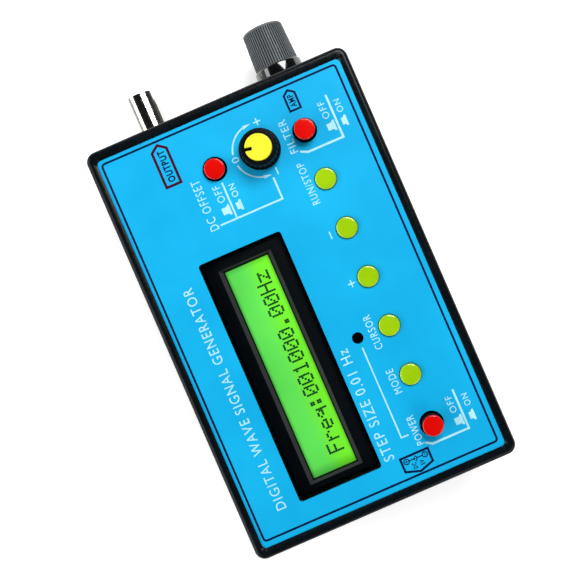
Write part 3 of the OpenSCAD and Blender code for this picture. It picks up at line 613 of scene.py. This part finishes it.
def makeYellowDisc():
    look = yellowDisc
    low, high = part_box("offset_knob_disc")
    middle = (low + high) / 2
    radius = (high.x - low.x) / 2
    deselectAll()
    bpy.ops.mesh.primitive_cylinder_add(vertices=128, radius=radius, depth=high.z - low.z,
                                        location=middle)
    disc = bpy.context.object
    applyPlace(disc)
    pickEdges(disc, lambda a, b: min(a.z, b.z) > high.z - 1e-6)
    bpy.ops.mesh.bevel(offset=look["edge"], segments=4, affect="EDGES")
    pickFaces(disc, lambda face, normal: normal.z > 0.99 and face.z > high.z - 1e-6)
    bpy.ops.mesh.inset(thickness=look["rimWidth"])
    bpy.ops.mesh.inset(thickness=look["dish"])
    bpy.ops.transform.translate(value=(0, 0, -look["dish"]))
    bpy.ops.object.mode_set(mode="OBJECT")
    turn = math.radians(look["notchTurn"])
    reach = radius - look["notch"][0] / 2 + look["overcut"]
    bpy.ops.mesh.primitive_cube_add(
        size=1, scale=(look["notch"][0] + 2 * look["overcut"], look["notch"][1], look["cutDepth"]),
        location=(middle.x + reach * math.cos(turn), middle.y + reach * math.sin(turn), middle.z),
        rotation=(0, 0, turn))
    cutter = bpy.context.object
    only(disc)
    bpy.ops.object.modifier_add(type="BOOLEAN")
    cut = disc.modifiers[-1]
    cut.object = cutter
    cut.operation = "DIFFERENCE"
    cut.solver = "EXACT"
    bpy.ops.object.modifier_apply(modifier=cut.name)
    bpy.data.objects.remove(cutter)
    shadeByAngle(disc, 30)
    place(disc, "offset_knob_face", finishes["disc_yellow"].material, "offset_knob", "disc_yellow",
          "offset_knob_disc")


makeSmallKnob()
makeYellowDisc()
print("offset knob done")


# ---- amplitude knob: ribbed grip on a glossy skirt

grip = {"ribs": 54, "rootRadius": 6.7 * mm, "tipRadius": 6.15 * mm, "endEdge": 0.8 * mm,
        "grooveDepth": 0.3 * mm, "grooveWall": 0.05 * mm, "endRim": 1.1 * mm, "endDish": 0.25 * mm}
skirt = {"radius": 7.35 * mm, "shoulder": 0.5 * mm, "footEdge": 0.2 * mm,
         "nutRoom": 0.35 * mm, "nutGap": 0.2 * mm}


def makeGrip():
    look = grip
    low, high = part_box("amplitude_grip")
    middle = (low + high) / 2
    length = high.y - low.y
    deselectAll()
    bpy.ops.mesh.primitive_cone_add(vertices=look["ribs"] * 4, radius1=look["rootRadius"],
                                    radius2=look["tipRadius"], depth=length,
                                    location=(0, 0, low.y + length / 2))
    piece = bpy.context.object
    applyPlace(piece)
    pickEdges(piece, lambda a, b: min(a.z, b.z) > high.y - 1e-6)
    bpy.ops.mesh.bevel(offset=look["endEdge"], segments=5, affect="EDGES")

    def inGroove(face, normal):
        turn = math.degrees(math.atan2(face.y, face.x)) % (360 / look["ribs"])
        return abs(normal.z) < 0.12 and turn < 360 / look["ribs"] / 2

    pickFaces(piece, inGroove)
    bpy.ops.mesh.inset(thickness=look["grooveWall"], depth=-look["grooveDepth"])
    pickFaces(piece, lambda face, normal: normal.z > 0.99 and face.z > high.y - 1e-6)
    bpy.ops.mesh.inset(thickness=look["endRim"])
    bpy.ops.mesh.inset(thickness=look["endDish"])
    bpy.ops.transform.translate(value=(0, 0, -look["endDish"]))
    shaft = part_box("amplitude_shaft")
    bore = (shaft[1].x - shaft[0].x) / 2 + boreFit["side"]
    pickFaces(piece, lambda face, normal: normal.z < -0.99 and face.z < low.y + 1e-6)
    bpy.ops.mesh.inset(thickness=look["rootRadius"] - bore)
    bpy.ops.mesh.extrude_region_move(
        TRANSFORM_OT_translate={"value": (0, 0, shaft[1].y + boreFit["end"] - low.y)})
    layAlongY(piece, middle.x, middle.z)
    shadeByAngle(piece, 32)
    place(piece, "amplitude_grip_ribbed", finishes["grip_grey"].material, "amplitude_knob", "grip_grey",
          "amplitude_grip")
    # painted shade: the groove floors are painted a darker grey than the ribs
    piece.data.materials.append(gripGroovePaintedShade.material)
    for face in piece.data.polygons:
        share = (face.center.y - low.y) / length
        outside = look["rootRadius"] + share * (look["tipRadius"] - look["rootRadius"])
        reach = math.hypot(face.center.x - middle.x, face.center.z - middle.z)
        inside = bore * 1.2 < reach < outside - look["grooveDepth"] / 2
        face.material_index = 1 if inside and abs(face.normal.y) < 0.2 else 0


def makeSkirt():
    look = skirt
    low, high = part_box("amplitude_skirt")
    middle = (low + high) / 2
    length = high.y - low.y
    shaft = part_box("amplitude_shaft")
    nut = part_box("amplitude_nut")
    deselectAll()
    bpy.ops.mesh.primitive_cylinder_add(vertices=144, radius=look["radius"], depth=length,
                                        location=(0, 0, low.y + length / 2))
    piece = bpy.context.object
    applyPlace(piece)
    pickEdges(piece, lambda a, b: min(a.z, b.z) > high.y - 1e-6)
    bpy.ops.mesh.bevel(offset=look["shoulder"], segments=6, affect="EDGES")
    pickEdges(piece, lambda a, b: max(a.z, b.z) < low.y + 1e-6)
    bpy.ops.mesh.bevel(offset=look["footEdge"], segments=3, affect="EDGES")
    # open from below for the nut, and right through for the shaft
    nutRoom = (nut[1].x - nut[0].x) / 2 + look["nutRoom"]
    bore = (shaft[1].x - shaft[0].x) / 2 + boreFit["side"]
    pickFaces(piece, lambda face, normal: normal.z > 0.99 and face.z > high.y - 1e-6)
    bpy.ops.mesh.inset(thickness=look["radius"] - look["shoulder"] - bore)
    bpy.ops.mesh.delete(type="FACE")
    pickFaces(piece, lambda face, normal: normal.z < -0.99 and face.z < low.y + 1e-6)
    bpy.ops.mesh.inset(thickness=look["radius"] - look["footEdge"] - nutRoom)
    bpy.ops.mesh.extrude_region_move(
        TRANSFORM_OT_translate={"value": (0, 0, nut[1].y + look["nutGap"] - low.y)})
    bpy.ops.mesh.inset(thickness=nutRoom - bore)
    bpy.ops.mesh.delete(type="FACE")
    pickEdges(piece, lambda a, b: abs(math.hypot(a.x, a.y) - bore) < 1e-5
              and abs(math.hypot(b.x, b.y) - bore) < 1e-5)
    bpy.ops.mesh.bridge_edge_loops()
    layAlongY(piece, middle.x, middle.z)
    cleanMesh(piece)
    shadeByAngle(piece, 40)
    place(piece, "amplitude_skirt_gloss", finishes["skirt_black"].material, "amplitude_knob",
          "skirt_black", "amplitude_skirt")


makeGrip()
makeSkirt()
print("amplitude knob done")


# ---- display: bezel with a sloped inner lip, and the dots of the readout

bezel = {"lipTop": (-18.25, -48.85, -2.05, 17.55), "lipFoot": (-17.2, -48.25, -3.1, 16.9),
         "outerEdge": 0.35 * mm, "wall": 0.3, "glassGap": 0.05 * mm, "outerBand": 1 * mm}
readout = {
    "words": "Freq:001000.00Hz",
    "start": (-43.1, -9.65),       # mm, middle of the first character's top left dot, y then x
    "step": 3.54, "across": 0.6, "down": 0.673,
    "dot": (0.56, 0.635), "corner": 0.06, "thickness": 0.03,
}
dotLetters = {
    "F": "11111 10000 10000 11110 10000 10000 10000",
    "r": "00000 00000 10110 11001 10000 10000 10000",
    "e": "00000 00000 01110 10001 11111 10000 01110",
    "q": "00000 00000 01101 10011 01111 00001 00001",
    ":": "00000 01100 01100 00000 01100 01100 00000",
    "0": "01110 10001 10011 10101 11001 10001 01110",
    "1": "00100 01100 00100 00100 00100 00100 01110",
    ".": "00000 00000 00000 00000 00000 01100 01100",
    "H": "10001 10001 10001 11111 10001 10001 10001",
    "z": "00000 00000 11111 00010 00100 01000 11111",
}


def makeBezel():
    low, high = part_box("display_frame")
    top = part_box("display_glass")[1].z
    lipFoot = top + bezel["glassGap"]
    wall = bezel["wall"]
    deselectAll()
    bpy.ops.mesh.primitive_cube_add(size=1, location=(low + high) / 2,
                                    scale=(high.x - low.x, high.y - low.y, high.z - low.z))
    piece = bpy.context.object
    applyPlace(piece)

    def fitTo(sides, height):
        # gives the one selected face these four sides, in mm, and this height
        bpy.ops.object.mode_set(mode="OBJECT")
        left, bottom, right, upper = [side * mm for side in sides]
        face = next(face for face in piece.data.polygons if face.select)
        for number in face.vertices:
            corner = piece.data.vertices[number].co
            corner.x = left if corner.x < (left + right) / 2 else right
            corner.y = bottom if corner.y < (bottom + upper) / 2 else upper
            corner.z = height
        bpy.ops.object.mode_set(mode="EDIT")

    pickFaces(piece, lambda face, normal: normal.z > 0.99)
    bpy.ops.mesh.inset(thickness=2 * mm)
    fitTo(bezel["lipTop"], high.z)
    bpy.ops.mesh.inset(thickness=wall * mm)
    fitTo(bezel["lipFoot"], lipFoot)
    bpy.ops.mesh.delete(type="FACE")
    pickFaces(piece, lambda face, normal: normal.z < -0.99)
    bpy.ops.mesh.inset(thickness=wall * mm)
    # below the lip the bezel is a thin wall around the glass and its light box
    fitTo((low.x / mm + wall, low.y / mm + wall, high.x / mm - wall, high.y / mm - wall), low.z)
    bpy.ops.mesh.extrude_region_move(
        TRANSFORM_OT_translate={"value": (0, 0, lipFoot - low.z)})
    bpy.ops.mesh.inset(thickness=2 * mm)
    fitTo(bezel["lipFoot"], lipFoot)
    bpy.ops.mesh.delete(type="FACE")
    cleanMesh(piece, 1e-6)
    outer = high.z - 1e-6
    pickEdges(piece, lambda a, b: min(a.z, b.z) > outer
              and (abs(a.x - b.x) < 1e-6 and min(a.x - low.x, high.x - a.x) < 1e-6
                   or abs(a.y - b.y) < 1e-6 and min(a.y - low.y, high.y - a.y) < 1e-6))
    bpy.ops.mesh.bevel(offset=bezel["outerEdge"], segments=3, affect="EDGES")
    bpy.ops.object.mode_set(mode="OBJECT")
    place(piece, "display_bezel", finishes["frame_metal"].material, "case", "frame_metal",
          "display_frame")
    # painted highlight: the sloped inner lip is painted lighter grey than the black bezel, for the light it
    # catches
    piece.data.materials.append(lipPaintedHighlight.material)
    for face in piece.data.polygons:
        sloped = 0.2 < face.normal.z < 0.98 and top < face.center.z < high.z - 0.1 * mm
        onOuter = min(face.center.x - low.x, high.x - face.center.x,
                      face.center.y - low.y, high.y - face.center.y) < bezel["outerBand"]
        face.material_index = 1 if sloped and not onOuter else 0
    shadeByAngle(piece, 20)


def makeReadout():
    look = readout
    deselectAll()
    bpy.ops.mesh.primitive_cube_add(
        size=1, scale=(look["dot"][1] * mm, look["dot"][0] * mm, look["thickness"] * mm))
    dot = bpy.context.object
    applyPlace(dot)
    pickEdges(dot, lambda a, b: abs(a.z - b.z) > 1e-6)
    bpy.ops.mesh.bevel(offset=look["corner"] * mm, segments=1, affect="EDGES")
    bpy.ops.object.mode_set(mode="OBJECT")
    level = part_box("display_glass")[1].z + look["thickness"] * mm / 2
    dots = []
    for number, letter in enumerate(look["words"]):
        for row, line in enumerate(dotLetters[letter].split()):
            for column, inked in enumerate(line):
                if inked == "1":
                    copy = bpy.data.objects.new("dot", dot.data.copy())
                    scene.collection.objects.link(copy)
                    copy.location = (
                        (look["start"][1] + row * look["down"]) * mm,
                        (look["start"][0] + number * look["step"] + column * look["across"]) * mm,
                        level)
                    dots.append(copy)
    bpy.data.objects.remove(dot)
    deselectAll()
    for copy in dots:
        copy.select_set(True)
    bpy.context.view_layer.objects.active = dots[0]
    bpy.ops.object.join()
    joined = bpy.context.object
    applyPlace(joined)
    place(joined, "readout_dots", dotGreen.material, "case", "display_glass")
    print("readout dots", len(dots))


makeBezel()
makeReadout()
print("display done")


# ---- print on the label

ink = {"lift": 0.03 * mm, "sink": 0.01 * mm, "spacing": 1.18}
# words, x of the letters' tops, x of their feet, y where they start, y where they end, all in mm
whiteWords = [
    ("DIGITAL WAVE SIGNAL GENERATOR", -29.4, -26.5, -51.1, 16.5),
    ("STEP SIZE 0.01 Hz", 3.9, 6.9, -50.6, -16.7),
    ("DC OFFSET", -15.2, -12.6, 28.5, 43.6),
    ("OFF", -10.1, -7.9, 34.9, 39.9),
    ("ON", -5.7, -3.8, 34.9, 38.7),
    ("FILTER", 14.2, 16.4, 39.6, 49.6),
    ("OFF", 26.5, 28.5, 44.9, 50.0),
    ("ON", 31.0, 32.8, 45.1, 48.9),
    ("RUN/STOP", 14.2, 16.4, 23.9, 36.4),
    ("CURSOR", 14.2, 16.4, -20.6, -10.4),
    ("MODE", 14.2, 16.4, -34.2, -27.0),
    ("POWER", 14.2, 16.4, -49.9, -41.2),
    ("OFF", 26.5, 28.4, -45.4, -40.4),
    ("ON", 31.0, 32.8, -45.1, -41.5),
    ("0", -1.9, 0.2, 43.6, 45.2),
]
# lines as points in mm, then their width
whiteLines = [
    ([(-6.9, 29.5), (-6.9, 40.1)], 0.5),
    ([(-12.0, 29.2), (7.0, 29.2), (7.0, 35.7)], 0.5),
    ([(16.8, 39.4), (18.9, 38.4), (29.7, 38.4), (29.7, 51.2)], 0.6),
    ([(16.65, -49.9), (18.4, -51.0), (29.5, -51.0), (29.5, -39.2)], 0.6),
    ([(13.1, -46.0), (10.9, -46.0), (10.9, -18.3)], 0.4),
    ([(15.3, 13.2), (15.3, 15.4)], 0.36),
    ([(8.7, 36.0), (8.7, 38.1)], 0.34),
]
# plus signs: middle, arm, stroke
plusSigns = [((15.3, -0.5), 1.05, 0.34), ((8.9, 52.0), 1.05, 0.36)]
# switch symbols: x of top and foot, y of start and end
switchSigns = [(-10.0, -7.6, 30.8, 33.9), (-5.7, -4.0, 30.8, 33.9), (26.6, 29.0, 40.9, 44.0),
               (31.0, 32.6, 40.9, 44.0), (26.6, 29.0, -49.5, -46.4), (31.0, 32.6, -49.5, -46.4)]
knobScale = {"centre": (6.7, 44.4), "radius": 7.8, "width": 0.45, "arrow": (2.4, 1.05)}
borderLine = {"sides": (-36.1, -57.5, 35.5, 58.1), "corner": 0.9, "width": 0.6}
# outlined tags that point at the sockets: outline points, width
tags = [
    ([(-21.75, 44.9), (-17.35, 44.9), (-17.35, 55.4), (-19.55, 57.0), (-21.75, 55.4)], 0.75),
    ([(18.75, 50.8), (22.0, 50.8), (22.0, 55.5), (20.35, 56.7), (18.75, 55.5)], 0.6),
    ([(8.1, -51.5), (8.1, -55.4), (12.3, -56.75), (16.5, -55.4), (16.5, -51.5)], 0.65),
]
# their words, as above, and the weight of the letters
tagWords = [
    ("OUTPUT", -20.5, -18.35, 45.9, 55.3, 0.13),
    ("AMP", 19.45, 21.3, 51.6, 55.3, 0.09),
    ("DC", 10.65, 11.95, -55.6, -53.8, 0.1),
    ("5V", 13.0, 14.3, -55.4, -53.9, 0.1),
]
# polarity sign beside the power socket: y of its line, x of plus ring, dot and minus ring, the rings'
# radius, half the length of the plus and minus arms, the dot's radius and where the line meets it
polarity = {"line": -52.85, "plus": 9.5, "dot": 11.9, "minus": 15.1, "radius": 0.75, "stroke": 0.3,
            "arm": 0.42, "armStroke": 0.2, "dotRadius": 0.34, "dotReach": 0.36}


def offsetLine(points, distance, closed):
    # the same line moved sideways, with mitred corners
    moved = []
    count = len(points)
    for number, here in enumerate(points):
        here = Vector(here)
        sides = []
        if closed or number:
            way = (here - Vector(points[number - 1])).normalized()
            sides.append(Vector((-way.y, way.x)))
        if closed or number + 1 < count:
            way = (Vector(points[(number + 1) % count]) - here).normalized()
            sides.append(Vector((-way.y, way.x)))
        normal = sum(sides, Vector((0, 0))).normalized()
        moved.append(here + normal * distance / normal.dot(sides[0]))
    return moved


def openBand(points, width):
    return [offsetLine(points, width / 2, False) + offsetLine(points, -width / 2, False)[::-1]]


def closedBand(points, width):
    return [offsetLine(points, width / 2, True), offsetLine(points, -width / 2, True)]


def layOnLabel(piece):
    # a flat piece drawn in mm becomes a thin solid print on the label
    only(piece)
    bpy.ops.object.convert(target="MESH")
    piece = bpy.context.object
    piece.scale = (mm, mm, mm)
    piece.location = (0, 0, labelTop + (ink["lift"] - ink["sink"]) / 2)
    applyPlace(piece)
    cleanMesh(piece, 2e-6)
    return piece


def printShape(outlines):
    curve = bpy.data.curves.new("print", "CURVE")
    curve.dimensions = "2D"
    curve.fill_mode = "BOTH"
    curve.extrude = (ink["lift"] + ink["sink"]) / 2 / mm
    for outline in outlines:
        spline = curve.splines.new("POLY")
        spline.points.add(len(outline) - 1)
        for point, spot in zip(spline.points, outline):
            point.co = (spot[0], spot[1], 0, 1)
        spline.use_cyclic_u = True
    piece = bpy.data.objects.new("print", curve)
    scene.collection.objects.link(piece)
    return layOnLabel(piece)


def printWords(words, tops, feet, start, end, weight=0.0):
    # letters stand with their tops towards -X and read towards +Y, stretched to fill their box
    deselectAll()
    bpy.ops.object.text_add()
    piece = bpy.context.object
    piece.data.body = words
    piece.data.size = 4
    piece.data.offset = weight
    piece.data.space_character = ink["spacing"]
    piece.data.extrude = (ink["lift"] + ink["sink"]) / 2 / mm
    piece.data.resolution_u = 3
    bpy.ops.object.convert(target="MESH")
    piece = bpy.context.object
    corners = [vertex.co for vertex in piece.data.vertices]
    left = min(corner.x for corner in corners)
    right = max(corner.x for corner in corners)
    foot = min(corner.y for corner in corners)
    head = max(corner.y for corner in corners)
    for vertex in piece.data.vertices:
        along = (vertex.co.x - left) / (right - left)
        up = (vertex.co.y - foot) / (head - foot)
        vertex.co.x = feet + up * (tops - feet)
        vertex.co.y = start + along * (end - start)
    return layOnLabel(piece)


def switchSign(top, foot, start, end):
    # a cap standing on a sloped collar, tall for out and low for in
    inset = (end - start) * 0.18
    return [[(foot, start), (foot, end), (foot - 0.5, end), (foot - 0.9, end - inset),
             (top, end - inset), (top, start + inset), (foot - 0.9, start + inset), (foot - 0.5, start)]]


def plusSign(middle, arm, stroke):
    x, y = middle
    half = stroke / 2
    return [[(x - arm, y - half), (x - half, y - half), (x - half, y - arm), (x + half, y - arm),
             (x + half, y - half), (x + arm, y - half), (x + arm, y + half), (x + half, y + half),
             (x + half, y + arm), (x - half, y + arm), (x - half, y + half), (x - arm, y + half)]]


def ring(x, y, radius, count=24):
    turns = [math.tau * step / count for step in range(count)]
    return [(x + radius * math.cos(turn), y + radius * math.sin(turn)) for turn in turns]


def polaritySign():
    # plus ring, a line to the dot inside a half ring, a line to the minus ring
    look = polarity
    y = look["line"]
    radius = look["radius"]
    stroke = look["stroke"]
    gap = radius + stroke / 2
    return [
        closedBand(ring(look["plus"], y, radius), stroke),
        plusSign((look["plus"], y), look["arm"], look["armStroke"]),
        openBand([(look["plus"] + gap, y), (look["dot"] - look["dotReach"], y)], stroke),
        [ring(look["dot"], y, look["dotRadius"])],
        arcBand((look["dot"], y), radius, -75, 75, stroke),
        openBand([(look["dot"] + gap, y), (look["minus"] - gap, y)], stroke),
        closedBand(ring(look["minus"], y, radius), stroke),
        openBand([(look["minus"], y - look["arm"]), (look["minus"], y + look["arm"])], look["armStroke"]),
    ]


def arcBand(centre, radius, first, last, width):
    turns = [math.radians(first + (last - first) * step / 24) for step in range(25)]
    return openBand([(centre[0] + radius * math.cos(turn), centre[1] + radius * math.sin(turn))
                     for turn in turns], width)


def joinPrint(name, pieces, material):
    deselectAll()
    for piece in pieces:
        piece.select_set(True)
    bpy.context.view_layer.objects.active = pieces[0]
    bpy.ops.object.join()
    joined = bpy.context.object
    place(joined, name, material, "case", "label")


def roundedRectangle(sides, corner, steps=6):
    left, bottom, right, top = sides
    points = []
    inner = (left + corner, bottom + corner, right - corner, top - corner)
    for middleX, middleY, first in ((inner[2], inner[3], 0), (inner[0], inner[3], 90),
                                    (inner[0], inner[1], 180), (inner[2], inner[1], 270)):
        for step in range(steps + 1):
            turn = math.radians(first + 90 * step / steps)
            points.append((middleX + corner * math.cos(turn), middleY + corner * math.sin(turn)))
    return points


def makeWhitePrint():
    pieces = [printWords(*row) for row in whiteWords]
    pieces += [printShape(openBand(points, width)) for points, width in whiteLines]
    pieces += [printShape(switchSign(*row)) for row in switchSigns]
    x, y = knobScale["centre"]
    radius = knobScale["radius"]
    long, wide = knobScale["arrow"]
    pieces += [printShape(plusSign(*row)) for row in plusSigns]
    pieces.append(printShape(arcBand((x, y), radius, 105.6, 168, knobScale["width"])))
    pieces.append(printShape(arcBand((x, y), radius, 192, 254.4, knobScale["width"])))
    for side in (1, -1):
        foot = (x - radius * math.cos(math.radians(74.4)) + 0.04,
                y + side * radius * math.sin(math.radians(74.4)))
        pieces.append(printShape([[(foot[0] + long, y + side * radius), (foot[0], foot[1] + wide / 2),
                                   (foot[0], foot[1] - wide / 2)]]))
    joinPrint("print_white_legends", pieces, printWhite.material)


def makeDarkPrint():
    border = roundedRectangle(borderLine["sides"], borderLine["corner"])
    joinPrint("print_border", [printShape(closedBand(border, borderLine["width"]))], printNavy.material)
    outlines = [printShape(closedBand(points, width)) for points, width in tags]
    joinPrint("print_output_tag", outlines[:1], printMaroon.material)
    words = [printWords(*row) for row in tagWords]
    signs = [printShape(outline) for outline in polaritySign()]
    joinPrint("print_tag_words", words + signs + outlines[1:], printNavy.material)


makeWhitePrint()
makeDarkPrint()
print("print done")


addFloor()
for lightName, lightLook in lights.items():
    addSoftbox(lightName, lightLook)
addWorld()
addCamera(cameraLook)
scene.view_settings.view_transform = "Standard"
scene.view_settings.look = "None"

deselectAll()
